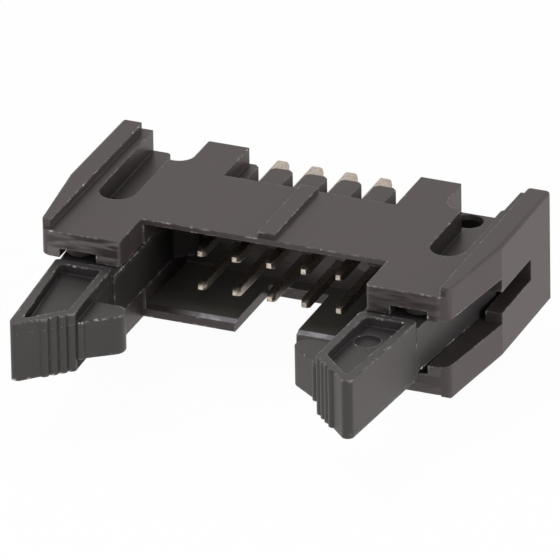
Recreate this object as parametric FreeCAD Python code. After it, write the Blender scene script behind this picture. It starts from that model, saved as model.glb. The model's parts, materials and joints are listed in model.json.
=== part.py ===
import FreeCAD, Part
import math
import os

os.makedirs("parts", exist_ok=True)

# Right-angle box header for a flat-cable socket, with two swinging latch/ejector levers. All sizes in mm.
# X runs along the row of contacts, Y points to the rear, Z points up from the board.
# The origin lies on the board, midway between the two mounting holes.

# Contacts: square wire in two rows, bent down behind the housing
COLUMNS = 5
PITCH = 2.54
ROW_PITCH = 2.54
WIRE = 0.64
TIP_LENGTH = 0.42
TIP_WIRE = 0.36
WIRE_BEND_RADIUS = 0.5
PIN_REACH = 6.5
TAIL_BELOW_BOARD = 2.8
PIN_HOLE_CLEARANCE = 0.02
TAIL_CLEARANCE = 0.2

# Shroud round the contacts
RIM_HEIGHT = 8.3
RIM_STEP = 0.55
BOTTOM_STEP = 0.35
SOCKET_END = 3.77
SOCKET_HEIGHT = 6.0
SOCKET_DEPTH = 7.2
HOLES_BEHIND_FLOOR = 3.15
BASE_WALL = 2.3
MOUTH_BEVEL_RISE = 0.22
MOUTH_BEVEL_RUN = 0.45
KEY_SLOT_WIDTH = 4.5
KEY_SLOT_LENGTH = 6.0
RIB_WIDTH = 1.3
RIB_HEIGHT = 0.3
RIB_SETBACK = 0.4
PLATE_OVERHANG = 0.9

# Comb and posts behind the base wall
COMB_DEPTH = 3.05
COMB_DROP = 1.15
TAIL_SLOT = 0.89
TOOTH_CORNER = 0.3
POST_WIDTH = 3.0
POST_PAST_COMB = 0.1
POST_CORNER = 0.15
POST_FILLET = 1.1

# End towers, measured outward from the end of the shroud
TOWER_STEP = 0.15
TOWER_REACH = 3.85
TOWER_FRONT_WIDTH = 5.85
TOWER_BEND_WIDTH = 6.85
TOWER_REAR_WIDTH = 6.78
TOWER_REAR = 2.5
TOWER_CORNER = 0.9
RIM_WIDTH = 1.52
RIM_SETBACK = 0.3
RIM_NOSE = 0.25
RIM_REAR_CORNER = 0.5

# Top recess, mounting lug and screw hole in each tower
RECESS_WIDTH = 2.6
RECESS_OUT = 0.05
RECESS_REAR_FLARE = 0.15
RECESS_DEPTH = 1.55
PLATE_EDGE_AHEAD_OF_HOLE = 1.3
LUG_BEHIND_HOLE = 1.15
LUG_STEP = 1.45
LUG_CORNER = 0.4
HOLE_OUT = 1.75
HOLE_RADIUS = 1.0

# Latch bearing in each tower
PIVOT_OUT = 3.1
PIVOT_BEHIND_MOUTH = 3.35
TRUNNION_RADIUS = 0.95
TRUNNION_CLEARANCE = 0.05
TRUNNION_HEIGHT = 0.62
GROOVE_WIDTH = 2.7
GROOVE_HEADROOM = 0.08
GROOVE_END = 1.75
GROOVE_RAMP = 1.4
BOSS_RADIUS = 1.0
BOSS_AHEAD = 5.85
BOSS_OUT = 0.3
BOSS_GAP = 0.12

# Small moulded corner, wherever a wall turns
SMALL_CORNER = 0.25

# Channel that the latch swings in
BLADE_THICKNESS = 3.3
BLADE_CLEARANCE = 0.05
CHANNEL_BEHIND_PIVOT = 5.7
CHANNEL_WIDTH_PAST_PIVOT = 2.5
CHANNEL_WALL_AHEAD = 0.35
WINDOW_HEIGHT = 1.6
WINDOW_DROP = 0.1

# Latch lever, measured from its pivot
HUB_REAR = 3.6
HUB_OUTER = 2.3
HUB_CORNER = 0.7
LEVER_INNER = 3.25
HEAD_THICKNESS = 4.32
HEAD_REAR = 8.3
HEAD_REAR_OUTER = 1.12
HEAD_REAR_INNER = 3.02
HEAD_FRONT = 18.85
HEAD_FRONT_OUTER = 0.28
HEAD_FRONT_INNER = 3.32
HEAD_CORNER = 0.45
HEAD_SLOPE = 45.0
HOOK_SLOPE = 36.0
HOOK_THICKNESS = 2.8
HOOK_REACH = 2.6
HOOK_CATCH = 11.95
NOSE_RADIUS = 0.9
RIDGES = 5
RIDGE_PITCH = 0.47
RIDGE_RISE = 0.2
RIDGE_START = 1.72
POCKET_DEPTH = 0.7
POCKET_BORDER = 0.6
POCKET_CORNER = 0.2
MARK_AHEAD = 11.0
MARK_INSIDE = 1.43
MARK_RADIUS = 0.9
MARK_DEPTH = 0.08
TOE_REACH = 4.0
TOE_BACK = 3.0
TOE_RADIUS = 0.7

# Levels
MID_Z = RIM_HEIGHT / 2
PLATE_LOW = BOTTOM_STEP
PLATE_HIGH = RIM_HEIGHT - RIM_STEP
COMB_TOP = PLATE_HIGH - COMB_DROP
RECESS_FLOOR = PLATE_HIGH - RECESS_DEPTH
CHANNEL_HALF = BLADE_THICKNESS / 2 + BLADE_CLEARANCE
TRUNNION_HALF = BLADE_THICKNESS / 2 + TRUNNION_HEIGHT

# Stations along Y
FLOOR_Y = -HOLES_BEHIND_FLOOR
MOUTH_Y = FLOOR_Y - SOCKET_DEPTH
PIN_TIP_Y = FLOOR_Y - PIN_REACH
BASE_REAR_Y = FLOOR_Y + BASE_WALL
PLATE_REAR_Y = FLOOR_Y + PLATE_OVERHANG
COMB_REAR_Y = BASE_REAR_Y + COMB_DEPTH
POST_REAR_Y = COMB_REAR_Y + POST_PAST_COMB
TOWER_FRONT_Y = MOUTH_Y - TOWER_REACH
TOWER_REAR_Y = TOWER_REAR
LOWER_TAIL_Y = COMB_REAR_Y + TAIL_CLEARANCE + WIRE / 2
UPPER_TAIL_Y = LOWER_TAIL_Y + ROW_PITCH
PIVOT_Y = MOUTH_Y + PIVOT_BEHIND_MOUTH
CHANNEL_WALL_Y = PIVOT_Y + CHANNEL_WALL_AHEAD

# Stations along X, on the right-hand side
LAST_COLUMN_X = (COLUMNS - 1) * PITCH / 2
SOCKET_HALF = LAST_COLUMN_X + SOCKET_END
POST_INNER = COLUMNS * PITCH / 2
POST_OUTER = POST_INNER + POST_WIDTH
TOWER_INNER = SOCKET_HALF + TOWER_STEP
TOWER_FRONT_OUTER = TOWER_INNER + TOWER_FRONT_WIDTH
TOWER_BEND_OUTER = TOWER_INNER + TOWER_BEND_WIDTH
TOWER_REAR_OUTER = TOWER_INNER + TOWER_REAR_WIDTH
RIM_INNER = TOWER_REAR_OUTER - RIM_WIDTH
PIVOT_X = TOWER_INNER + PIVOT_OUT
HOLE_X = TOWER_INNER + HOLE_OUT
CHANNEL_OUTER = PIVOT_X + CHANNEL_WIDTH_PAST_PIVOT

# How far a cutting solid runs past the face that it opens
PAST = 1.0


def outline(corners):
    """Flat face through corners given as (x, y, radius), each rounded as far as its two sides allow."""
    points = [FreeCAD.Vector(x, y, 0) for x, y, radius in corners]
    count = len(points)
    sides = [points[(index + 1) % count] - points[index] for index in range(count)]
    halves = [(math.pi - sides[index - 1].getAngle(sides[index])) / 2 for index in range(count)]
    wanted = [corners[index][2] / math.tan(halves[index]) for index in range(count)]
    room = []
    for index in range(count):
        both = wanted[index] + wanted[(index + 1) % count]
        room.append(min(1, 0.999 * sides[index].Length / both) if both > 0 else 1)
    turns = []
    for index, corner in enumerate(points):
        setback = wanted[index] * min(room[index - 1], room[index])
        if setback == 0:
            turns.append((corner, None, corner))
            continue
        before = FreeCAD.Vector(sides[index - 1]).normalize() * -1
        after = FreeCAD.Vector(sides[index]).normalize()
        radius = setback * math.tan(halves[index])
        inward = (before + after).normalize()
        crown = corner + inward * (radius / math.sin(halves[index]) - radius)
        turns.append((corner + before * setback, crown, corner + after * setback))
    edges = []
    for index, (start, crown, end) in enumerate(turns):
        if crown is not None:
            edges.append(Part.Arc(start, crown, end).toShape())
        following = turns[(index + 1) % len(turns)][0]
        edges.append(Part.LineSegment(end, following).toShape())
    return Part.Face(Part.Wire(edges))


def slab(corners, low, high):
    """Upright prism over a plan outline."""
    face = outline(corners)
    face.translate(FreeCAD.Vector(0, 0, low))
    return face.extrude(FreeCAD.Vector(0, 0, high - low))


def bar(corners, left, right):
    """Prism along X over a side outline given as (y, z, radius)."""
    face = outline(corners)
    face.rotate(FreeCAD.Vector(0, 0, 0), FreeCAD.Vector(1, 1, 1), 120)
    face.translate(FreeCAD.Vector(left, 0, 0))
    return face.extrude(FreeCAD.Vector(right - left, 0, 0))


def block(low, high):
    """Box between two opposite corners."""
    size = [b - a for a, b in zip(low, high)]
    return Part.makeBox(size[0], size[1], size[2], FreeCAD.Vector(*low))


def post(radius, x, y, low, high):
    """Upright cylinder."""
    return Part.makeCylinder(radius, high - low, FreeCAD.Vector(x, y, low))


def mirrored(shape):
    """The same shape on the other side of the middle plane."""
    return shape.mirror(FreeCAD.Vector(0, 0, 0), FreeCAD.Vector(1, 0, 0))


def column_x(column):
    """X of a contact column, counted from the left."""
    return column * PITCH - LAST_COLUMN_X


def body_plan(low, high):
    """Plan of the whole moulding: shroud, towers, lugs, posts and comb."""
    right = [
        (TOWER_INNER, MOUTH_Y, 0),
        (TOWER_INNER, TOWER_FRONT_Y, SMALL_CORNER),
        (TOWER_FRONT_OUTER, TOWER_FRONT_Y, TOWER_CORNER),
        (TOWER_BEND_OUTER, CHANNEL_WALL_Y, 0),
        (TOWER_REAR_OUTER, TOWER_REAR_Y, 0),
        (HOLE_X + LUG_STEP, TOWER_REAR_Y, LUG_CORNER),
        (HOLE_X + LUG_STEP, LUG_BEHIND_HOLE, 0),
        (POST_OUTER, LUG_BEHIND_HOLE, 0),
        (POST_OUTER, POST_REAR_Y, POST_CORNER),
        (POST_INNER, POST_REAR_Y, 0),
        (POST_INNER, COMB_REAR_Y, 0),
    ]
    left = [(-x, y, radius) for x, y, radius in reversed(right)]
    return slab(right + left, low, high)


def rims():
    """Raised outer walls of the towers, which stand on the board and rise past the plate."""
    far = TOWER_BEND_OUTER + PAST
    front = TOWER_FRONT_Y + RIM_SETBACK
    plan = [(RIM_INNER, front, 0), (far, front, 0), (far, TOWER_REAR_Y, 0)]
    plan.append((RIM_INNER, TOWER_REAR_Y, RIM_REAR_CORNER))
    side = [(front, 0, RIM_NOSE), (TOWER_REAR_Y, 0, 0), (TOWER_REAR_Y, RIM_HEIGHT, RIM_NOSE)]
    side.append((front, RIM_HEIGHT, RIM_NOSE))
    rim = slab(plan, 0, RIM_HEIGHT).common(bar(side, RIM_INNER, far))
    rim = rim.common(body_plan(0, RIM_HEIGHT))
    return [rim, mirrored(rim)]


def rib():
    """Stiffening rib along the middle of the top plate."""
    low = (-RIB_WIDTH / 2, MOUTH_Y + RIB_SETBACK, PLATE_HIGH)
    high = (RIB_WIDTH / 2, PLATE_REAR_Y, PLATE_HIGH + RIB_HEIGHT)
    return block(low, high)


def socket_cut():
    """Cavity for the cable socket, with bevelled lips at its mouth."""
    half = SOCKET_HEIGHT / 2
    lip = half + MOUTH_BEVEL_RISE
    side = [
        (MOUTH_Y - PAST, MID_Z - lip, 0),
        (MOUTH_Y, MID_Z - lip, 0),
        (MOUTH_Y + MOUTH_BEVEL_RUN, MID_Z - half, 0),
        (FLOOR_Y, MID_Z - half, 0),
        (FLOOR_Y, MID_Z + half, 0),
        (MOUTH_Y + MOUTH_BEVEL_RUN, MID_Z + half, 0),
        (MOUTH_Y, MID_Z + lip, 0),
        (MOUTH_Y - PAST, MID_Z + lip, 0),
    ]
    return bar(side, -SOCKET_HALF, SOCKET_HALF)


def key_slot_cut():
    """Polarising slot through the lower wall of the shroud."""
    half = KEY_SLOT_WIDTH / 2
    rear = MOUTH_Y + KEY_SLOT_LENGTH
    plan = [(-half, MOUTH_Y - PAST, 0), (half, MOUTH_Y - PAST, 0)]
    plan += [(half, rear, SMALL_CORNER), (-half, rear, SMALL_CORNER)]
    return slab(plan, -PAST, MID_Z - SOCKET_HEIGHT / 2 + MOUTH_BEVEL_RISE)


def comb_cuts():
    """Step down behind the top plate, tail slots and the square pin holes."""
    rear = POST_REAR_Y + PAST
    cuts = [block((-POST_INNER, PLATE_REAR_Y, COMB_TOP), (POST_INNER, rear, RIM_HEIGHT))]
    hole = WIRE / 2 + PIN_HOLE_CLEARANCE
    for column in range(COLUMNS):
        x = column_x(column)
        half = TAIL_SLOT / 2
        flare = half + TOOTH_CORNER
        slot = [
            (x - half, BASE_REAR_Y, 0),
            (x + half, BASE_REAR_Y, 0),
            (x + half, COMB_REAR_Y - TOOTH_CORNER, 0),
            (x + flare, COMB_REAR_Y, 0),
            (x + flare, COMB_REAR_Y + PAST, 0),
            (x - flare, COMB_REAR_Y + PAST, 0),
            (x - flare, COMB_REAR_Y, 0),
            (x - half, COMB_REAR_Y - TOOTH_CORNER, 0),
        ]
        cuts.append(slab(slot, -PAST, RIM_HEIGHT))
        for z in (MID_Z - ROW_PITCH / 2, MID_Z + ROW_PITCH / 2):
            low = (x - hole, FLOOR_Y - PAST, z - hole)
            high = (x + hole, BASE_REAR_Y + PAST, z + hole)
            cuts.append(block(low, high))
    return cuts


def recess_cut():
    """U-shaped recess in the top of a tower, running out over the mounting lug."""
    half = RECESS_WIDTH / 2
    front = PIVOT_Y - half
    rear = TOWER_REAR_Y + PAST
    edge = -PLATE_EDGE_AHEAD_OF_HOLE
    inner = PIVOT_X + RECESS_OUT - half
    outer = PIVOT_X + RECESS_OUT + half
    plan = [
        (inner, front, half),
        (outer, front, half),
        (outer + RECESS_REAR_FLARE, rear, 0),
        (POST_OUTER, rear, 0),
        (POST_OUTER, edge, POST_FILLET),
        (inner, edge, SMALL_CORNER),
    ]
    return slab(plan, RECESS_FLOOR, RIM_HEIGHT + PAST)


def channel_cuts():
    """Space between the two arms of a tower, open to the front, to the socket and out to the side."""
    rear = PIVOT_Y + CHANNEL_BEHIND_PIVOT
    front = TOWER_FRONT_Y - PAST
    far = TOWER_BEND_OUTER + PAST
    inner = SOCKET_HALF - PAST
    plan = [
        (inner, front, 0),
        (far, front, 0),
        (far, CHANNEL_WALL_Y, 0),
        (CHANNEL_OUTER, CHANNEL_WALL_Y, 0),
        (CHANNEL_OUTER, rear, SMALL_CORNER),
        (PIVOT_X + TRUNNION_RADIUS, rear, 0),
        (PIVOT_X - HUB_OUTER, FLOOR_Y, 0),
        (inner, FLOOR_Y, 0),
    ]
    channel = slab(plan, MID_Z - CHANNEL_HALF, MID_Z + CHANNEL_HALF)
    window_z = MID_Z - WINDOW_DROP
    low = (CHANNEL_OUTER - PAST, CHANNEL_WALL_Y - PAST, window_z - WINDOW_HEIGHT / 2)
    window = block(low, (far, rear, window_z + WINDOW_HEIGHT / 2))
    return [channel, window]


def bearing_cuts():
    """Insertion grooves for the trunnions, and the round holes that they snap into."""
    top = TRUNNION_HALF + GROOVE_HEADROOM
    snap = (top + CHANNEL_HALF) / 2
    end = PIVOT_Y - GROOVE_END
    side = [
        (TOWER_FRONT_Y - PAST, MID_Z - top, 0),
        (end - GROOVE_RAMP, MID_Z - top, 0),
        (end, MID_Z - snap, 0),
        (end, MID_Z + snap, 0),
        (end - GROOVE_RAMP, MID_Z + top, 0),
        (TOWER_FRONT_Y - PAST, MID_Z + top, 0),
    ]
    groove = bar(side, PIVOT_X - GROOVE_WIDTH / 2, PIVOT_X + GROOVE_WIDTH / 2)
    radius = TRUNNION_RADIUS + TRUNNION_CLEARANCE
    hole = post(radius, PIVOT_X, PIVOT_Y, -PAST, RECESS_FLOOR + TRUNNION_HEIGHT)
    return [groove, hole]


def retaining_bosses():
    """Round bosses in the grooves, which keep a fitted latch from sliding out again."""
    x = PIVOT_X + BOSS_OUT
    y = PIVOT_Y - BOSS_AHEAD
    near = BLADE_THICKNESS / 2 + BOSS_GAP
    far = TRUNNION_HALF + GROOVE_HEADROOM
    upper = post(BOSS_RADIUS, x, y, MID_Z + near, MID_Z + far)
    lower = post(BOSS_RADIUS, x, y, MID_Z - far, MID_Z - near)
    return [upper, lower]


def housing():
    """The one moulding that holds everything."""
    body = body_plan(PLATE_LOW, PLATE_HIGH).fuse(rims())
    one_side = [recess_cut()] + channel_cuts() + bearing_cuts()
    one_side.append(post(HOLE_RADIUS, HOLE_X, 0, -PAST, RIM_HEIGHT))
    cuts = [socket_cut(), key_slot_cut()] + comb_cuts()
    for cut in one_side:
        cuts += [cut, mirrored(cut)]
    body = body.cut(cuts)
    added = [rib()]
    for boss in retaining_bosses():
        added += [boss, mirrored(boss)]
    return body.fuse(added).removeSplitter()


def tangent(degrees):
    """Rise over run of a slope."""
    return math.tan(math.radians(degrees))


def front_line(x):
    """Y of the lever's front face at x, ahead of the pivot. The face bends where head and hook meet."""
    bend_y = HEAD_FRONT - (HEAD_FRONT_OUTER + HEAD_FRONT_INNER) * tangent(HEAD_SLOPE)
    if x < -HEAD_FRONT_INNER:
        return bend_y + (x + HEAD_FRONT_INNER) * tangent(HOOK_SLOPE)
    return HEAD_FRONT - (HEAD_FRONT_OUTER - x) * tangent(HEAD_SLOPE)


def ridges():
    """Upright round ridges on the front face, where a finger pushes."""
    ribs = []
    for ridge in range(RIDGES):
        right = HEAD_FRONT_OUTER - RIDGE_START - ridge * RIDGE_PITCH
        left = right - RIDGE_PITCH
        start = FreeCAD.Vector(right, -front_line(right), 0)
        end = FreeCAD.Vector(left, -front_line(left), 0)
        along = (end - start).normalize()
        outward = FreeCAD.Vector(-along.y, along.x, 0)
        crown = (start + end) * 0.5 + outward * RIDGE_RISE
        root = [end, end - outward * RIDGE_RISE, start - outward * RIDGE_RISE, start]
        face = Part.Face(Part.Wire([Part.Arc(start, crown, end).toShape()] + Part.makePolygon(root).Edges))
        on_head = right > -HEAD_FRONT_INNER + RIDGE_PITCH / 2
        half = HEAD_THICKNESS / 2 if on_head else HOOK_THICKNESS / 2
        face.translate(FreeCAD.Vector(0, 0, -half))
        ribs.append(face.extrude(FreeCAD.Vector(0, 0, 2 * half)))
    return ribs


def lever_head():
    """Thick finger grip in front, with a shallow pocket in its top and bottom and an ejector mark in one."""
    half = HEAD_THICKNESS / 2
    plan = [
        (-HEAD_FRONT_INNER, -front_line(-HEAD_FRONT_INNER), 0),
        (HEAD_FRONT_OUTER, -HEAD_FRONT, HEAD_CORNER),
        (HEAD_REAR_OUTER, -HEAD_REAR, SMALL_CORNER),
        (-HEAD_REAR_INNER, -HEAD_REAR, SMALL_CORNER),
    ]
    head = slab(plan, -half, half)
    front = POCKET_BORDER / math.cos(math.radians(HEAD_SLOPE))
    inner = POCKET_BORDER - HEAD_FRONT_INNER
    outer = HEAD_FRONT_OUTER - POCKET_BORDER
    rear_inner = POCKET_BORDER - HEAD_REAR_INNER
    rear_outer = HEAD_REAR_OUTER - POCKET_BORDER
    pocket = [
        (inner, front - front_line(inner), POCKET_CORNER),
        (outer, front - front_line(outer), POCKET_CORNER),
        (rear_outer, -HEAD_REAR - POCKET_BORDER, POCKET_CORNER),
        (rear_inner, -HEAD_REAR - POCKET_BORDER, POCKET_CORNER),
    ]
    floor = half - POCKET_DEPTH
    cuts = [slab(pocket, floor, half + PAST), slab(pocket, -half - PAST, -floor)]
    cuts.append(post(MARK_RADIUS, -MARK_INSIDE, -MARK_AHEAD, floor - MARK_DEPTH, half))
    return head.cut(cuts)


def lever_hook():
    """Hook that closes over the front of the cable socket."""
    half = HOOK_THICKNESS / 2
    tip_x = -LEVER_INNER - HOOK_REACH
    root_x = (HEAD_FRONT_OUTER - LEVER_INNER) / 2
    plan = [
        (tip_x, -front_line(tip_x), NOSE_RADIUS),
        (-HEAD_FRONT_INNER, -front_line(-HEAD_FRONT_INNER), 0),
        (root_x, -front_line(root_x), 0),
        (root_x, -HOOK_CATCH, 0),
        (tip_x, -HOOK_CATCH, NOSE_RADIUS),
    ]
    return slab(plan, -half, half)


def lever_blade():
    """Flat blade between the arms: it runs on past the pivot, and its toe lifts the socket out."""
    half = BLADE_THICKNESS / 2
    head_rear = -HEAD_REAR - SMALL_CORNER
    plan = [
        (-LEVER_INNER, head_rear, 0),
        (HEAD_REAR_OUTER, head_rear, 0),
        (HUB_OUTER, HUB_REAR, HUB_CORNER),
        (-TOE_REACH, TOE_BACK + TOE_RADIUS, 0),
        (-TOE_REACH, TOE_BACK, 0),
        (-LEVER_INNER, TOE_BACK / 2, 0),
    ]
    blade = slab(plan, -half, half)
    toe = FreeCAD.Vector(-TOE_REACH, TOE_BACK, 0)
    side = FreeCAD.Vector(-toe.y, toe.x, 0).normalize() * TOE_RADIUS
    arm = slab([(v.x, v.y, 0) for v in (toe + side, side, -side, toe - side)], -half, half)
    tip = post(TOE_RADIUS, toe.x, toe.y, -half, half)
    return [blade, arm, tip]


def lever():
    """Right-hand latch lever, closed, in place."""
    body = lever_head().fuse([lever_hook()] + lever_blade() + ridges())
    body = body.fuse(post(TRUNNION_RADIUS, 0, 0, -TRUNNION_HALF, TRUNNION_HALF))
    body = body.removeSplitter()
    body.translate(FreeCAD.Vector(PIVOT_X, PIVOT_Y, MID_Z))
    return body


def turned_over(shape):
    """The same moulding upside down, for the other end of the header."""
    other = shape.copy()
    other.rotate(FreeCAD.Vector(0, 0, MID_Z), FreeCAD.Vector(0, 1, 0), 180)
    return other


def contact(x, z, tail_y):
    """Square-wire contact: straight through the base wall, then bent down into the board."""
    half = WIRE / 2
    outer = WIRE_BEND_RADIUS + half
    inner = WIRE_BEND_RADIUS - half
    front = PIN_TIP_Y + TIP_LENGTH
    low = TIP_LENGTH - TAIL_BELOW_BOARD
    side = [
        (front, z - half, 0),
        (tail_y - half, z - half, inner),
        (tail_y - half, low, 0),
        (tail_y + half, low, 0),
        (tail_y + half, z + half, outer),
        (front, z + half, 0),
    ]
    wire = bar(side, x - half, x + half)
    pin_tip = taper(FreeCAD.Vector(x, front, z), FreeCAD.Vector(0, -1, 0))
    tail_tip = taper(FreeCAD.Vector(x, tail_y, low), FreeCAD.Vector(0, 0, -1))
    return wire.fuse([pin_tip, tail_tip]).removeSplitter()


def taper(root, direction):
    """Tapered end of a square wire, from its full width to the small flat at its tip."""
    across = FreeCAD.Vector(1, 0, 0)
    other = direction.cross(across)
    rings = []
    for half, reach in ((WIRE / 2, 0), (TIP_WIRE / 2, TIP_LENGTH)):
        centre = root + direction * reach
        ring = []
        for a, b in ((-1, -1), (1, -1), (1, 1), (-1, 1)):
            ring.append(centre + across * (a * half) + other * (b * half))
        rings.append(Part.makePolygon(ring + ring[:1]))
    return Part.makeLoft(rings, True, True)


def save(shape, name):
    """One STEP file for one node."""
    solid = shape.Solids[0] if len(shape.Solids) == 1 else shape
    print(name, len(shape.Solids), shape.isValid(), round(shape.Volume, 3))
    solid.exportStep("parts/" + name + ".step")


save(housing(), "housing")
right_lever = lever()
save(right_lever, "latch_right")
save(turned_over(right_lever), "latch_left")
for number in range(1, COLUMNS + 1):
    place = column_x(number - 1)
    save(contact(place, MID_Z + ROW_PITCH / 2, UPPER_TAIL_Y), "contact_upper_" + str(number))
    save(contact(place, MID_Z - ROW_PITCH / 2, LOWER_TAIL_Y), "contact_lower_" + str(number))
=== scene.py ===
import json
import math

import bpy
from mathutils import Matrix, Vector

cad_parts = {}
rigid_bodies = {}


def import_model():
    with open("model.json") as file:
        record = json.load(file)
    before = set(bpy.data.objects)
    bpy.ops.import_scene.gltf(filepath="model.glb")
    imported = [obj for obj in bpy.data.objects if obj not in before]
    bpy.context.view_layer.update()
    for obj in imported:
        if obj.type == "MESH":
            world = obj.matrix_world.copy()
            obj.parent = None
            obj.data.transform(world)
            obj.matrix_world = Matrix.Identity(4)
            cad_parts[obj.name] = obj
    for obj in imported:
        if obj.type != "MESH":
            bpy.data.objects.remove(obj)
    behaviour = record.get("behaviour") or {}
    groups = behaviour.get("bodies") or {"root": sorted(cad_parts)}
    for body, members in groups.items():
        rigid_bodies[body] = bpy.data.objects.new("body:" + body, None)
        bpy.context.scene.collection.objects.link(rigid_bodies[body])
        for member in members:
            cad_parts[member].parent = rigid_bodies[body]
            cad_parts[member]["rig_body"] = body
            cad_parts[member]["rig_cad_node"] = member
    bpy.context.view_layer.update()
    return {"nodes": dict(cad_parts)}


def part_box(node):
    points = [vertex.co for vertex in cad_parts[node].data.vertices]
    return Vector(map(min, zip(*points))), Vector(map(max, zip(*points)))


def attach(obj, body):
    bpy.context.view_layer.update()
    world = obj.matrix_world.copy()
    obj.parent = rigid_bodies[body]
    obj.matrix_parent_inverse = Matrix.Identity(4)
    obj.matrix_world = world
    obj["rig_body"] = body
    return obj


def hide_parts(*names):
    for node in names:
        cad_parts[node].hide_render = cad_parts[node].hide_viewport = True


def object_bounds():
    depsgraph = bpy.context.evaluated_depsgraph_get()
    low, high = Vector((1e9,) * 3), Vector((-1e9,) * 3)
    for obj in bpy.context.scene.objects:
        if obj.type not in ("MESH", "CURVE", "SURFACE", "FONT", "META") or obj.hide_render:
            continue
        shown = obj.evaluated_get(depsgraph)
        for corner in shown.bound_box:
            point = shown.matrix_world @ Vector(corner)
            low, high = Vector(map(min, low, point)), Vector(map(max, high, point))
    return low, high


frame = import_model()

MM = 0.001

# Housing
# One moulding of black glass-filled thermoplastic: the shroud, its base wall, the two end towers and the
# rear comb. It comes out of a steel tool, so every edge has a small radius, and the faces carry a fine
# satin texture.
EDGE_RADIUS = 0.10 * MM
PLASTIC = (0.0255, 0.0215, 0.0208)
PLASTIC_WORN = (0.225, 0.222, 0.225)
PLASTIC_PAINTED_GLINT = (0.50, 0.49, 0.48)
PLASTIC_IOR = 1.5
SATIN = 0.29
DULL = 0.5

# The sizes of the marks on the plastic, and the levels of noise between which each of them comes up.
CLOUD_SIZE = 3.5 * MM
CLOUD_LEVELS = (0.36, 0.64)
CLOUD_SWING = 0.14
CLOUD_ROUGHNESS = 0.08
GRAIN_SIZE = 0.05 * MM
GRAIN_DEPTH = 0.012 * MM
GRAIN_ROUGHNESS = 0.16
GRAIN_RELIEF = 0.7
RELIEF_STRENGTH = 0.7
PATCH_SIZE = 1.3 * MM
PATCH_LEVELS = (0.46, 0.60)
SPECK_SIZE = 0.11 * MM
SPECK_LEVELS = (0.71, 0.75)
SPECK_SHARE = 0.5
MOTTLE_SIZE = 0.30 * MM
EDGE_REACH = 1.6
EDGE_LEVELS = (0.10, 0.34)
RUB_LEVELS = (0.42, 0.60)
RUB_SHARE = 0.14
RUB_PATCHES = 0.5
# Glints are painted highlights on some of the rubbed edges.
GLINT_SIZE = 0.5 * MM
GLINT_LEVELS = (0.62, 0.68)
FLASH_WIDTHS = (0.015 * MM, 0.05 * MM)
FLASH_LEVELS = (0.45, 0.62)
FLASH_SHARE = 0.3
FLASH_RELIEF = 3


class Field:
    """A number that changes over a surface, written as plain arithmetic on shader sockets."""

    def __init__(self, tree, socket):
        self.tree = tree
        self.socket = socket

    def _with(self, operation, other, swapped=False):
        node = self.tree.nodes.new("ShaderNodeMath")
        node.operation = operation
        for index, value in enumerate((other, self) if swapped else (self, other)):
            if isinstance(value, Field):
                self.tree.links.new(value.socket, node.inputs[index])
            else:
                node.inputs[index].default_value = value
        return Field(self.tree, node.outputs[0])

    def __add__(self, other):
        return self._with("ADD", other)

    def __radd__(self, other):
        return self._with("ADD", other)

    def __sub__(self, other):
        return self._with("SUBTRACT", other)

    def __rsub__(self, other):
        return self._with("SUBTRACT", other, swapped=True)

    def __mul__(self, other):
        return self._with("MULTIPLY", other)

    def __rmul__(self, other):
        return self._with("MULTIPLY", other)

    def __neg__(self):
        return self._with("MULTIPLY", -1.0)

    def __abs__(self):
        return self._with("ABSOLUTE", 0.0)

    def clamped(self):
        result = self._with("ADD", 0.0)
        result.socket.node.use_clamp = True
        return result


class Nodes:
    """A node tree, with one method that adds any node from its type, settings and inputs."""

    def __init__(self, tree):
        self.tree = tree

    def node(self, kind, settings=None, inputs=None):
        made = self.tree.nodes.new(kind)
        for key, value in (settings or {}).items():
            setattr(made, key, value)
        for key, value in (inputs or {}).items():
            self.put(made.inputs[key], value)
        return made

    def put(self, target, value):
        """Links or sets one input."""
        if isinstance(value, Field):
            value = value.socket
        if isinstance(value, bpy.types.NodeSocket):
            self.tree.links.new(value, target)
        else:
            target.default_value = value

    def blend(self, share, first, second):
        """First colour, going over to the second as share goes from 0 to 1."""
        made = self.node("ShaderNodeMix", {"data_type": "RGBA"}, {0: share})
        for index, colour in ((6, first), (7, second)):
            self.put(made.inputs[index], (*colour, 1.0) if isinstance(colour, tuple) else colour)
        return made.outputs[2]


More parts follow.
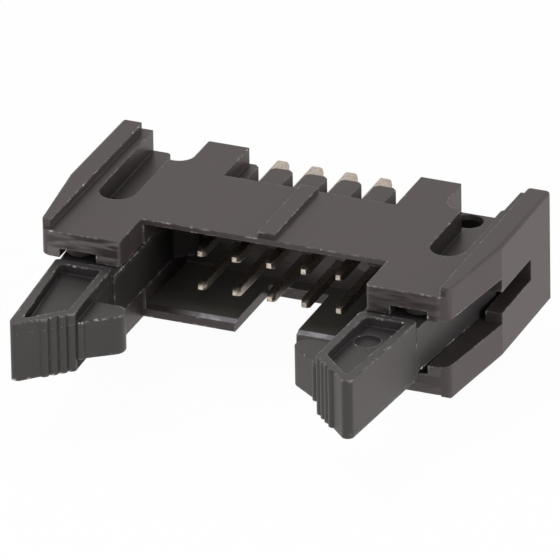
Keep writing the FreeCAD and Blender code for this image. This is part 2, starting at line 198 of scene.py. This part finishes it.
class Finish(Nodes):
    """A new material, whose patterns all read the place on the object."""

    def __init__(self, name):
        self.material = bpy.data.materials.new(name)
        self.material.use_nodes = True
        super().__init__(self.material.node_tree)
        self.shader = self.tree.nodes["Principled BSDF"]
        self.place = self.node("ShaderNodeTexCoord").outputs["Object"]

    def axes(self):
        """The place on the object, as one field for each of x, y and z."""
        outputs = self.node("ShaderNodeSeparateXYZ", None, {0: self.place}).outputs
        return [Field(self.tree, output) for output in outputs]

    def noise(self, size, detail=3.0, roughness=0.55):
        """Noise whose features are about size metres across."""
        inputs = {"Vector": self.place, "Scale": 1 / size, "Detail": detail, "Roughness": roughness}
        return Field(self.tree, self.node("ShaderNodeTexNoise", None, inputs).outputs[0])

    def streaks(self, length, height):
        """Noise drawn out level, in streaks about length metres long and height metres high."""
        drawn = self.node("ShaderNodeMapping", None, {"Vector": self.place, "Scale": (1, 1, length / height)})
        made = self.node("ShaderNodeTexNoise", None, {"Vector": drawn.outputs[0], "Scale": 1 / length})
        return Field(self.tree, made.outputs[0])

    def step(self, field, low, high):
        """0 below low, 1 above high, smooth between them."""
        inputs = {"Value": field, "From Min": low, "From Max": high}
        made = self.node("ShaderNodeMapRange", {"interpolation_type": "SMOOTHSTEP"}, inputs)
        return Field(self.tree, made.outputs[0])

    def above(self, field, level, fade=0.03 * MM):
        """0 up to the level, and 1 from a fade's width over it."""
        return self.step(field, level, level + fade)

    def below(self, field, level, fade=0.03 * MM):
        """0 down to the level, and 1 from a fade's width under it."""
        return self.step(-field, -level, -level + fade)

    def rounded(self, radius):
        """Direction of the surface with its sharp edges rounded off."""
        return self.node("ShaderNodeBevel", {"samples": 6}, {"Radius": radius}).outputs[0]

    def ridge(self, width):
        """1 on outward edges, down to 0 within width metres of them."""
        settings = {"inside": True, "only_local": True, "samples": 8}
        made = self.node("ShaderNodeAmbientOcclusion", settings, {"Distance": width})
        return 1 - Field(self.tree, made.outputs["AO"])

    def bump(self, field, depth, strength, base=None):
        """Surface relief, depth metres high where field is 1, on top of the direction given as base."""
        made = self.node("ShaderNodeBump", None, {"Height": field, "Distance": depth, "Strength": strength})
        if base is not None:
            self.put(made.inputs["Normal"], base)
        self.put(self.shader.inputs["Normal"], made.outputs[0])

    def surface(self, **values):
        """Links or sets inputs of the shader, named with underscores for spaces."""
        for key, value in values.items():
            self.put(self.shader.inputs[key.replace("_", " ")], value)


# The bevel on the lower lip of the socket's mouth carries a painted highlight, which fades out at its left
# end.
LIP_BOTTOM = 0.94 * MM
LIP_TOP = 1.15 * MM
LIP_REAR = -9.88 * MM
LIP_HALF_WIDTH = 8.87 * MM
LIP_HIGHLIGHT_FADE = (-7.6 * MM, -3.9 * MM)
LIP_PAINTED_HIGHLIGHT = (0.34, 0.355, 0.385)
LIP_HIGHLIGHT_SHARE = 0.55
LIP_HIGHLIGHT_PATCHES = 0.45

# The fronts of the towers carry level scuffs, more of them on the left one.
TOWER_FRONT = -14.2 * MM
SCUFF_FADE = 0.1 * MM
SCUFF_LENGTH = 2.2 * MM
SCUFF_HEIGHT = 0.3 * MM
SCUFF_LEVELS = (0.38, 0.62)
SCUFF_LEFT = 0.30
SCUFF_RIGHT = 0.12


def lip_highlight_and_scuffs(finish):
    """How strong the painted highlight on the mouth's bevel is, and how scuffed the tower fronts are."""
    across, along, height = finish.axes()
    # The painted highlight lies on the lip's bevel and fades out towards the left.
    lip = finish.above(height, LIP_BOTTOM) * finish.below(height, LIP_TOP) * finish.below(along, LIP_REAR)
    lip = lip * finish.below(abs(across), LIP_HALF_WIDTH) * finish.step(across, *LIP_HIGHLIGHT_FADE)
    scuffs = finish.step(finish.streaks(SCUFF_LENGTH, SCUFF_HEIGHT), *SCUFF_LEVELS)
    scuffs = scuffs * finish.below(along, TOWER_FRONT + SCUFF_FADE, SCUFF_FADE)
    return lip, scuffs * (SCUFF_LEFT - finish.step(across, -MM, MM) * (SCUFF_LEFT - SCUFF_RIGHT))


def moulded_plastic(name, colour, radius, parting=0.0, roughness=SATIN, housing_highlight_and_scuffs=False):
    """Black thermoplastic with a spark-eroded grain, a few pale specks, edges rubbed pale in places with a
    painted highlight glinting on some of them, and the fine raised line left where the tool parts, at the
    height given.
    The housing's marks add a painted highlight on the lip's bevel, and the scuffs."""
    finish = Finish(name)
    cloud = finish.noise(CLOUD_SIZE)
    mottle = finish.noise(MOTTLE_SIZE, detail=4.0, roughness=0.6)
    grain = finish.noise(GRAIN_SIZE, detail=2.0, roughness=0.6)
    patches = finish.step(finish.noise(PATCH_SIZE, detail=2.0), *PATCH_LEVELS)
    specks = finish.step(finish.noise(SPECK_SIZE, detail=2.0), *SPECK_LEVELS) * patches
    rubbed = finish.step(finish.ridge(EDGE_REACH * radius), *EDGE_LEVELS) * finish.step(mottle, *RUB_LEVELS)
    # Painted highlights glinting on some of the rubbed edges.
    painted_glints = rubbed * finish.step(finish.noise(GLINT_SIZE, detail=2.0), *GLINT_LEVELS)
    flash = 1 - finish.step(abs(finish.axes()[2] - parting), *FLASH_WIDTHS)

    worn = specks * SPECK_SHARE + rubbed * (RUB_SHARE + patches * RUB_PATCHES)
    worn = worn + flash * finish.step(mottle, *FLASH_LEVELS) * FLASH_SHARE
    darker = tuple((1 - CLOUD_SWING) * channel for channel in colour)
    lighter = tuple((1 + CLOUD_SWING) * channel for channel in colour)
    shown = finish.blend(finish.step(cloud * 0.5 + grain * 0.5, *CLOUD_LEVELS), darker, lighter)
    if housing_highlight_and_scuffs:
        lip, scuffs = lip_highlight_and_scuffs(finish)
        shown = finish.blend((worn + scuffs).clamped(), shown, PLASTIC_WORN)
        # Painted highlight on the lip's bevel.
        shown = finish.blend((lip * (LIP_HIGHLIGHT_SHARE + patches * LIP_HIGHLIGHT_PATCHES)).clamped(), shown, LIP_PAINTED_HIGHLIGHT)
    else:
        shown = finish.blend(worn.clamped(), shown, PLASTIC_WORN)
    finish.surface(Base_Color=finish.blend(painted_glints.clamped(), shown, PLASTIC_PAINTED_GLINT), IOR=PLASTIC_IOR)
    finish.surface(Roughness=(roughness + grain * GRAIN_ROUGHNESS + cloud * CLOUD_ROUGHNESS).clamped())
    relief = grain * GRAIN_RELIEF + mottle * GRAIN_RELIEF + flash * FLASH_RELIEF
    finish.bump(relief, GRAIN_DEPTH, RELIEF_STRENGTH, finish.rounded(radius))
    return finish


WELD_DISTANCE = 0.001 * MM
FLAT_ANGLE = 0.5
EDGE_ANGLE = 28
CURVED_WIDTH = 0.35 * MM


def deselect():
    for each in list(bpy.context.selected_objects):
        each.select_set(False)


def work_on(piece):
    """Makes the piece the only selected object, and the active one."""
    deselect()
    bpy.context.view_layer.objects.active = piece
    piece.select_set(True)


def welded_copy(node, name):
    """Copy of a CAD node as one clean shell: shared corners, and flat faces without their inner edges."""
    source = frame["nodes"][node]
    piece = source.copy()
    piece.data = source.data.copy()
    piece.parent = None
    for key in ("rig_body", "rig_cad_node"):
        del piece[key]
    bpy.context.scene.collection.objects.link(piece)
    piece.name = name
    piece.data.materials.clear()
    work_on(piece)
    bpy.ops.object.mode_set(mode="EDIT")
    bpy.ops.mesh.select_all(action="SELECT")
    bpy.ops.mesh.remove_doubles(threshold=WELD_DISTANCE)
    bpy.ops.mesh.dissolve_limited(angle_limit=math.radians(FLAT_ANGLE))
    bpy.ops.object.mode_set(mode="OBJECT")
    return piece


def choose(piece, kind, test):
    """Selects the corners, edges or faces that pass the test, and leaves the piece in edit mode."""
    bpy.ops.object.mode_set(mode="EDIT")
    bpy.ops.mesh.select_mode(type=kind)
    bpy.ops.mesh.select_all(action="DESELECT")
    bpy.ops.object.mode_set(mode="OBJECT")
    parts = {"VERT": piece.data.vertices, "EDGE": piece.data.edges, "FACE": piece.data.polygons}
    for part in parts[kind]:
        part.select = bool(test(part))
    bpy.ops.object.mode_set(mode="EDIT")


def edge_length(mesh, index):
    first, second = (mesh.vertices[corner].co for corner in mesh.edges[index].vertices)
    return (first - second).length


def shade(piece):
    """Broad faces shaded flat, and the narrow strips of a curve smooth."""
    work_on(piece)
    bpy.ops.object.shade_smooth_by_angle(angle=math.radians(EDGE_ANGLE), keep_sharp_edges=True)
    mesh = piece.data
    for face in mesh.polygons:
        longest = max(edge_length(mesh, mesh.loops[index].edge_index) for index in face.loop_indices)
        face.use_smooth = face.area < CURVED_WIDTH * longest


housing_plastic = moulded_plastic("housing plastic", PLASTIC, EDGE_RADIUS, housing_highlight_and_scuffs=True)
housing = welded_copy("housing", "housing_moulding")
housing.data.materials.append(housing_plastic.material)

# The steel core that forms the socket leaves its walls coarse and dull. Their colour carries painted shade,
# darkest on the left wall, and painted light, palest on the right and on the floor.
CORE_LOW = Vector((-8.87, -10.37, 1.13)) * MM
CORE_HIGH = Vector((8.87, -3.13, 7.17)) * MM
CORE_PLASTIC = (0.034, 0.0325, 0.0295)
CORE_SPECULAR = 0.15
CORE_FLOOR_PAINTED_LIGHT = (0.078, 0.076, 0.070)
CORE_FLOOR_LIGHT_SHARE = 0.8
CORE_FLOOR_TOP = CORE_LOW.z + 0.1 * MM
CORE_FLOOR_FADE = 0.1 * MM
CORE_LEFT_PAINTED_SHADE = (0.015, 0.0145, 0.0135)
CORE_LEFT_SHADE_SHARE = 0.9
CORE_LEFT_X = -5.7 * MM
CORE_LEFT_FADE = 0.4 * MM
CORE_RIGHT_PAINTED_LIGHT = (0.085, 0.083, 0.080)
CORE_RIGHT_LIGHT_FADE = (-2.5 * MM, 5.0 * MM)

cored_painted_shading = moulded_plastic("cored plastic", CORE_PLASTIC, EDGE_RADIUS, roughness=DULL)
across, _, height = cored_painted_shading.axes()
on_wall = cored_painted_shading.above(height, CORE_FLOOR_TOP, CORE_FLOOR_FADE)
in_left_painted_shade = cored_painted_shading.below(across, CORE_LEFT_X, CORE_LEFT_FADE)
in_right_painted_light = cored_painted_shading.step(across, *CORE_RIGHT_LIGHT_FADE)
colour = cored_painted_shading.shader.inputs["Base Color"].links[0].from_socket
# Painted light on the floor and towards the right, and painted shade on the left wall.
colour = cored_painted_shading.blend((1 - on_wall) * CORE_FLOOR_LIGHT_SHARE, colour, CORE_FLOOR_PAINTED_LIGHT)
colour = cored_painted_shading.blend(on_wall * in_right_painted_light, colour, CORE_RIGHT_PAINTED_LIGHT)
colour = cored_painted_shading.blend(on_wall * in_left_painted_shade * CORE_LEFT_SHADE_SHARE, colour, CORE_LEFT_PAINTED_SHADE)
cored_painted_shading.surface(Base_Color=colour, Specular_IOR_Level=CORE_SPECULAR)
housing.data.materials.append(cored_painted_shading.material)
for face in housing.data.polygons:
    corners = [housing.data.vertices[index].co for index in face.vertices]
    if all(CORE_LOW[axis] <= at[axis] <= CORE_HIGH[axis] for at in corners for axis in range(3)):
        face.material_index = 1

# The raised outer walls of the towers have a larger radius along their outer edges, where a hand holds
# the part.
RIM_EDGE_RADIUS = 0.24 * MM
RIM_WIDTH = 1.2 * MM
RIM_REAR_X = 15.7 * MM
RIM_REAR_DEPTH = 0.26 * MM
RIM_LONG_EDGE = 1.5 * MM
RIM_LEVEL = 0.01 * MM
RIM_UPRIGHT = 0.05 * MM
rim_low, rim_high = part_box("housing")


def on_rim(edge):
    """Whether it is a long level outer edge of a raised wall, or one round the wall's rear end."""
    first, second = (housing.data.vertices[index].co for index in edge.vertices)
    middle = (first + second) / 2
    outer = min(abs(first.x), abs(second.x)) > rim_high[0] - RIM_WIDTH
    level = any(abs(first.z - end) + abs(second.z - end) < RIM_LEVEL for end in (rim_low[2], rim_high[2]))
    long_edge = level and (first - second).length > RIM_LONG_EDGE
    rear = middle.y > rim_high[1] - RIM_REAR_DEPTH and abs(middle.x) > RIM_REAR_X
    rear_edge = rear and abs(first.x - second.x) < RIM_UPRIGHT
    return outer and (long_edge or rear_edge)


choose(housing, "EDGE", on_rim)
bpy.ops.mesh.bevel(
    offset=RIM_EDGE_RADIUS, offset_type="OFFSET", segments=4, affect="EDGES", clamp_overlap=False
)
bpy.ops.object.mode_set(mode="OBJECT")

# Each screw hole has a countersunk neck under the top of its lug.
HOLE_X = 10.75 * MM
HOLE_TOP = 6.2 * MM
HOLE_NECK = HOLE_TOP - 0.33 * MM
HOLE_WAIST = HOLE_TOP - 0.9 * MM
HOLE_WALL = 1.05 * MM
HOLE_EDGE = 1.1 * MM
HOLE_LEVEL = 0.02 * MM
HOLE_TOP_SCALE = 1.04
HOLE_NECK_SCALE = 0.90
UPRIGHT = 0.2

for hole_x in (-HOLE_X, HOLE_X):
    def off_axis(point, hole_x=hole_x):
        return math.hypot(point.x - hole_x, point.y)

    for cut in (HOLE_NECK, HOLE_WAIST):
        choose(housing, "FACE", lambda at: off_axis(at.center) < HOLE_WALL and abs(at.normal.z) < UPRIGHT)
        bpy.ops.mesh.bisect(plane_co=(hole_x, 0, cut), plane_no=(0, 0, 1))
        bpy.ops.object.mode_set(mode="OBJECT")
    for ring, scale in ((HOLE_TOP, HOLE_TOP_SCALE), (HOLE_NECK, HOLE_NECK_SCALE)):
        choose(housing, "VERT", lambda at: off_axis(at.co) < HOLE_EDGE and abs(at.co.z - ring) < HOLE_LEVEL)
        bpy.ops.transform.resize(value=(scale, scale, 1), center_override=(hole_x, 0, ring))
        bpy.ops.object.mode_set(mode="OBJECT")
shade(housing)
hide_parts("housing")
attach(housing, "housing_body")

# Latch levers
# Two levers moulded in the same plastic from a smaller tool, snapped into the towers by their own
# trunnions. Their edges are rounder, and the inner faces of their blades come out coarse and dull, their
# colour darkened with painted shade.
LATCH_EDGE_RADIUS = 0.14 * MM
LATCH_PLASTIC = (0.0195, 0.0192, 0.0195)
BLADE_PLASTIC_PAINTED_SHADE = (0.014, 0.0137, 0.0132)
BLADE_SPECULAR = 0.12
BLADE_AREA = 4 * MM * MM
BLADE_FACING = 0.9
TOE_FRONT = -11.5 * MM
TOE_FACING = -0.3
TOE_UPRIGHT = 0.5
MARK_LEVEL = 0.01 * MM
MARK_DEEPER = 0.14 * MM


def gets_painted_blade_shade(face, inward):
    """Whether a face is the broad inner side of the blade, or an upright side of its toe; these get painted
    shade.
    """
    facing = face.normal.x * inward
    broad = facing > BLADE_FACING and face.area > BLADE_AREA
    toe = face.center.y > TOE_FRONT and facing > TOE_FACING and abs(face.normal.z) < TOE_UPRIGHT
    return broad or toe


# Each lever has the line where its tool parts, and the mark of an ejector pin, at heights of its own.
for side, inward, parting, mark in (("left", 1, 5.5 * MM, 2.77 * MM), ("right", -1, 2.3 * MM, 5.53 * MM)):
    lever = welded_copy("latch_" + side, "lever_" + side)
    latch = moulded_plastic("latch plastic " + side, LATCH_PLASTIC, LATCH_EDGE_RADIUS, parting)
    # The blade's darker colour is painted shade; its duller gloss is the plastic's own.
    blade = moulded_plastic("blade plastic " + side, BLADE_PLASTIC_PAINTED_SHADE, LATCH_EDGE_RADIUS, parting, DULL)
    blade.surface(Specular_IOR_Level=BLADE_SPECULAR)
    lever.data.materials.append(latch.material)
    lever.data.materials.append(blade.material)
    for face in lever.data.polygons:
        if gets_painted_blade_shade(face, inward):
            face.material_index = 1
    choose(lever, "VERT", lambda at: abs(at.co.z - mark) < MARK_LEVEL)
    bpy.ops.transform.translate(value=(0, 0, inward * MARK_DEEPER))
    bpy.ops.object.mode_set(mode="OBJECT")
    shade(lever)
    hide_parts("latch_" + side)
    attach(lever, "latch_" + side + "_body")

# Contacts
# Square wire of copper alloy, pressed through the base wall and bent down to the board.
# The mating end is plated pale gold, and the tail is tinned only round its bend and down to the board; the
# level run behind the base wall keeps the colour of the shaft.
WIRE_EDGE = 0.05 * MM
WIRE_ROUGHNESS = 0.30
GOLD = (0.86, 0.79, 0.66)
GOLD_LENGTH = 0.06 * MM
GOLD_FADE = 0.12 * MM
SHAFT = (0.52, 0.485, 0.43)
SHAFT_DULL = (0.30, 0.28, 0.245)
TIN = (0.52, 0.47, 0.40)
TIN_DULL = (0.30, 0.26, 0.21)
TIN_DULL_SHARE = 0.7
TIN_DEPTH = 0.75 * MM
TIN_FADE = 0.2 * MM
TIN_ROUGHNESS = 0.12
SEAM_SIZE = 0.5 * MM
SEAM_REACH = 0.3 * MM
TARNISH_SIZE = 0.25 * MM
TARNISH_LEVELS = (0.42, 0.68)
DRAWN_SIZE = 0.06 * MM
DRAWN_DEPTH = 0.004 * MM
DRAWN_STRENGTH = 0.5
DRAWN_ROUGHNESS = 0.14


def plated_wire(name, tip_y, seam_y):
    """Pale gold tip ahead of tip_y, a tarnished shaft, and tin behind seam_y, with fine marks of drawing.
    The two seams between the metals are ragged."""
    finish = Finish(name)
    along = finish.axes()[1] + finish.noise(SEAM_SIZE) * SEAM_REACH
    tinned = finish.above(along, seam_y, TIN_FADE)
    tarnish = finish.step(finish.noise(TARNISH_SIZE, detail=4.0, roughness=0.7), *TARNISH_LEVELS)
    shaft = finish.blend(tarnish, SHAFT, SHAFT_DULL)
    mating_end = finish.blend(finish.above(along, tip_y, GOLD_FADE), GOLD, shaft)
    tail = finish.blend(tarnish * TIN_DULL_SHARE, TIN, TIN_DULL)
    finish.surface(Base_Color=finish.blend(tinned, mating_end, tail), Metallic=1.0)
    drawn = finish.noise(DRAWN_SIZE, detail=2.0)
    finish.surface(Roughness=(WIRE_ROUGHNESS + tinned * TIN_ROUGHNESS + drawn * DRAWN_ROUGHNESS).clamped())
    finish.bump(drawn, DRAWN_DEPTH, DRAWN_STRENGTH)
    return finish.material


pin_front_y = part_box("contact_upper_1")[0][1]
for row in ("upper", "lower"):
    tail_rear_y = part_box(f"contact_{row}_1")[1][1]
    contact_metal = plated_wire(f"plated wire {row}", pin_front_y + GOLD_LENGTH, tail_rear_y - TIN_DEPTH)
    for column in range(1, 6):
        node = f"contact_{row}_{column}"
        wire = welded_copy(node, f"pin_{row}_{column}")
        wire.data.materials.append(contact_metal)
        bevel = wire.modifiers.new("edges", "BEVEL")
        bevel.width = WIRE_EDGE
        bevel.segments = 2
        bpy.ops.object.modifier_apply(modifier=bevel.name)
        shade(wire)
        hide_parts(node)
        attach(wire, "housing_body")

# Stage
# A sweep of white paper under the part in a plain white room, with soft panels at the right, in front and
# above. The camera stands far off to the front right and looks down on the socket's mouth.
FLOOR_DROP = 0.02 * MM
FLOOR_SIZE = 4.0
PAPER = (0.93, 0.93, 0.93, 1.0)
PAPER_GLOW = 0.965
WHITE = (1.0, 1.0, 1.0)
WARM_WHITE = (1.0, 0.935, 0.92)
ROOM_LIGHT = 0.3
CAMERA_PLACE = Vector((366.65, -871.05, 475.0)) * MM
CAMERA_AZIMUTH = 23.01
CAMERA_ELEVATION = 26.69
CAMERA_ROLL = -1.03
CAMERA_LENS = 993.4


def ray_kinds(nodes):
    """1 on the camera's own rays, and 1 on the rays that gloss or glass sends on."""
    ray = nodes.node("ShaderNodeLightPath").outputs
    sent_on = Field(nodes.tree, ray["Is Glossy Ray"]) + Field(nodes.tree, ray["Is Transmission Ray"])
    return Field(nodes.tree, ray["Is Camera Ray"]), sent_on


floor_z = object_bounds()[0][2] - FLOOR_DROP
deselect()
bpy.ops.mesh.primitive_plane_add(size=FLOOR_SIZE, location=(0, 0, floor_z))
floor = bpy.context.active_object
floor.name = "paper_sweep"
paper = Finish("white paper")
paper.surface(Base_Color=PAPER, Roughness=0.9)
camera_ray, sent_on_ray = ray_kinds(paper)
glow_colour = paper.blend(camera_ray, WARM_WHITE, WHITE)
glow = paper.node("ShaderNodeEmission", None, {"Color": glow_colour, "Strength": 1.0})
glow_share = (camera_ray * PAPER_GLOW + sent_on_ray).clamped()
layers = {0: glow_share, 1: paper.shader.outputs[0], 2: glow.outputs[0]}
mixed = paper.node("ShaderNodeMixShader", None, layers)
paper.put(paper.tree.nodes["Material Output"].inputs["Surface"], mixed.outputs[0])
floor.data.materials.append(paper.material)

studio = bpy.data.worlds.new("studio")
bpy.context.scene.world = studio
studio.use_nodes = True
room = Nodes(studio.node_tree)
camera_ray, sent_on_ray = ray_kinds(room)
plain_white = (camera_ray + sent_on_ray).clamped()
background = studio.node_tree.nodes["Background"]
room.put(background.inputs["Strength"], ROOM_LIGHT + plain_white * (1 - ROOM_LIGHT))
room.put(background.inputs["Color"], room.blend(camera_ray, WARM_WHITE, WHITE))


def panel(name, place, size, power):
    """Square soft light that looks at the part. Gloss shows the plain white room and not the lamp."""
    lamp = bpy.data.lights.new(name, "AREA")
    lamp.size = size
    lamp.energy = power
    lamp.color = WARM_WHITE
    holder = bpy.data.objects.new(name, lamp)
    holder.location = place
    holder.rotation_euler = (-Vector(place)).to_track_quat("-Z", "Y").to_euler()
    holder.visible_glossy = False
    bpy.context.scene.collection.objects.link(holder)


panel("right_panel", place=(0.52, -0.11, 0.14), size=0.35, power=3.0)
panel("front_panel", place=(-0.10, -0.56, 0.12), size=0.40, power=2.8)
panel("key_panel", place=(-0.20, -0.08, 0.56), size=0.20, power=1.1)

lens = bpy.data.cameras.new("camera")
lens.sensor_width = 36.0
lens.lens = CAMERA_LENS
lens.clip_start = 0.01
lens.clip_end = 10.0
camera = bpy.data.objects.new("camera", lens)
bpy.context.scene.collection.objects.link(camera)
turn = math.radians(CAMERA_AZIMUTH)
tilt = math.radians(CAMERA_ELEVATION)
roll = math.radians(CAMERA_ROLL)
forward = Vector((-math.sin(turn) * math.cos(tilt), math.cos(turn) * math.cos(tilt), -math.sin(tilt)))
level_right = Vector((math.cos(turn), math.sin(turn), 0))
level_up = level_right.cross(forward)
right = level_right * math.cos(roll) + level_up * math.sin(roll)
up = level_up * math.cos(roll) - level_right * math.sin(roll)
columns = (right, up, -forward, CAMERA_PLACE)
camera.matrix_world = Matrix([[column[axis] for column in columns] for axis in range(3)] + [[0, 0, 0, 1]])
bpy.context.scene.camera = camera
bpy.context.scene.view_settings.view_transform = "Standard"
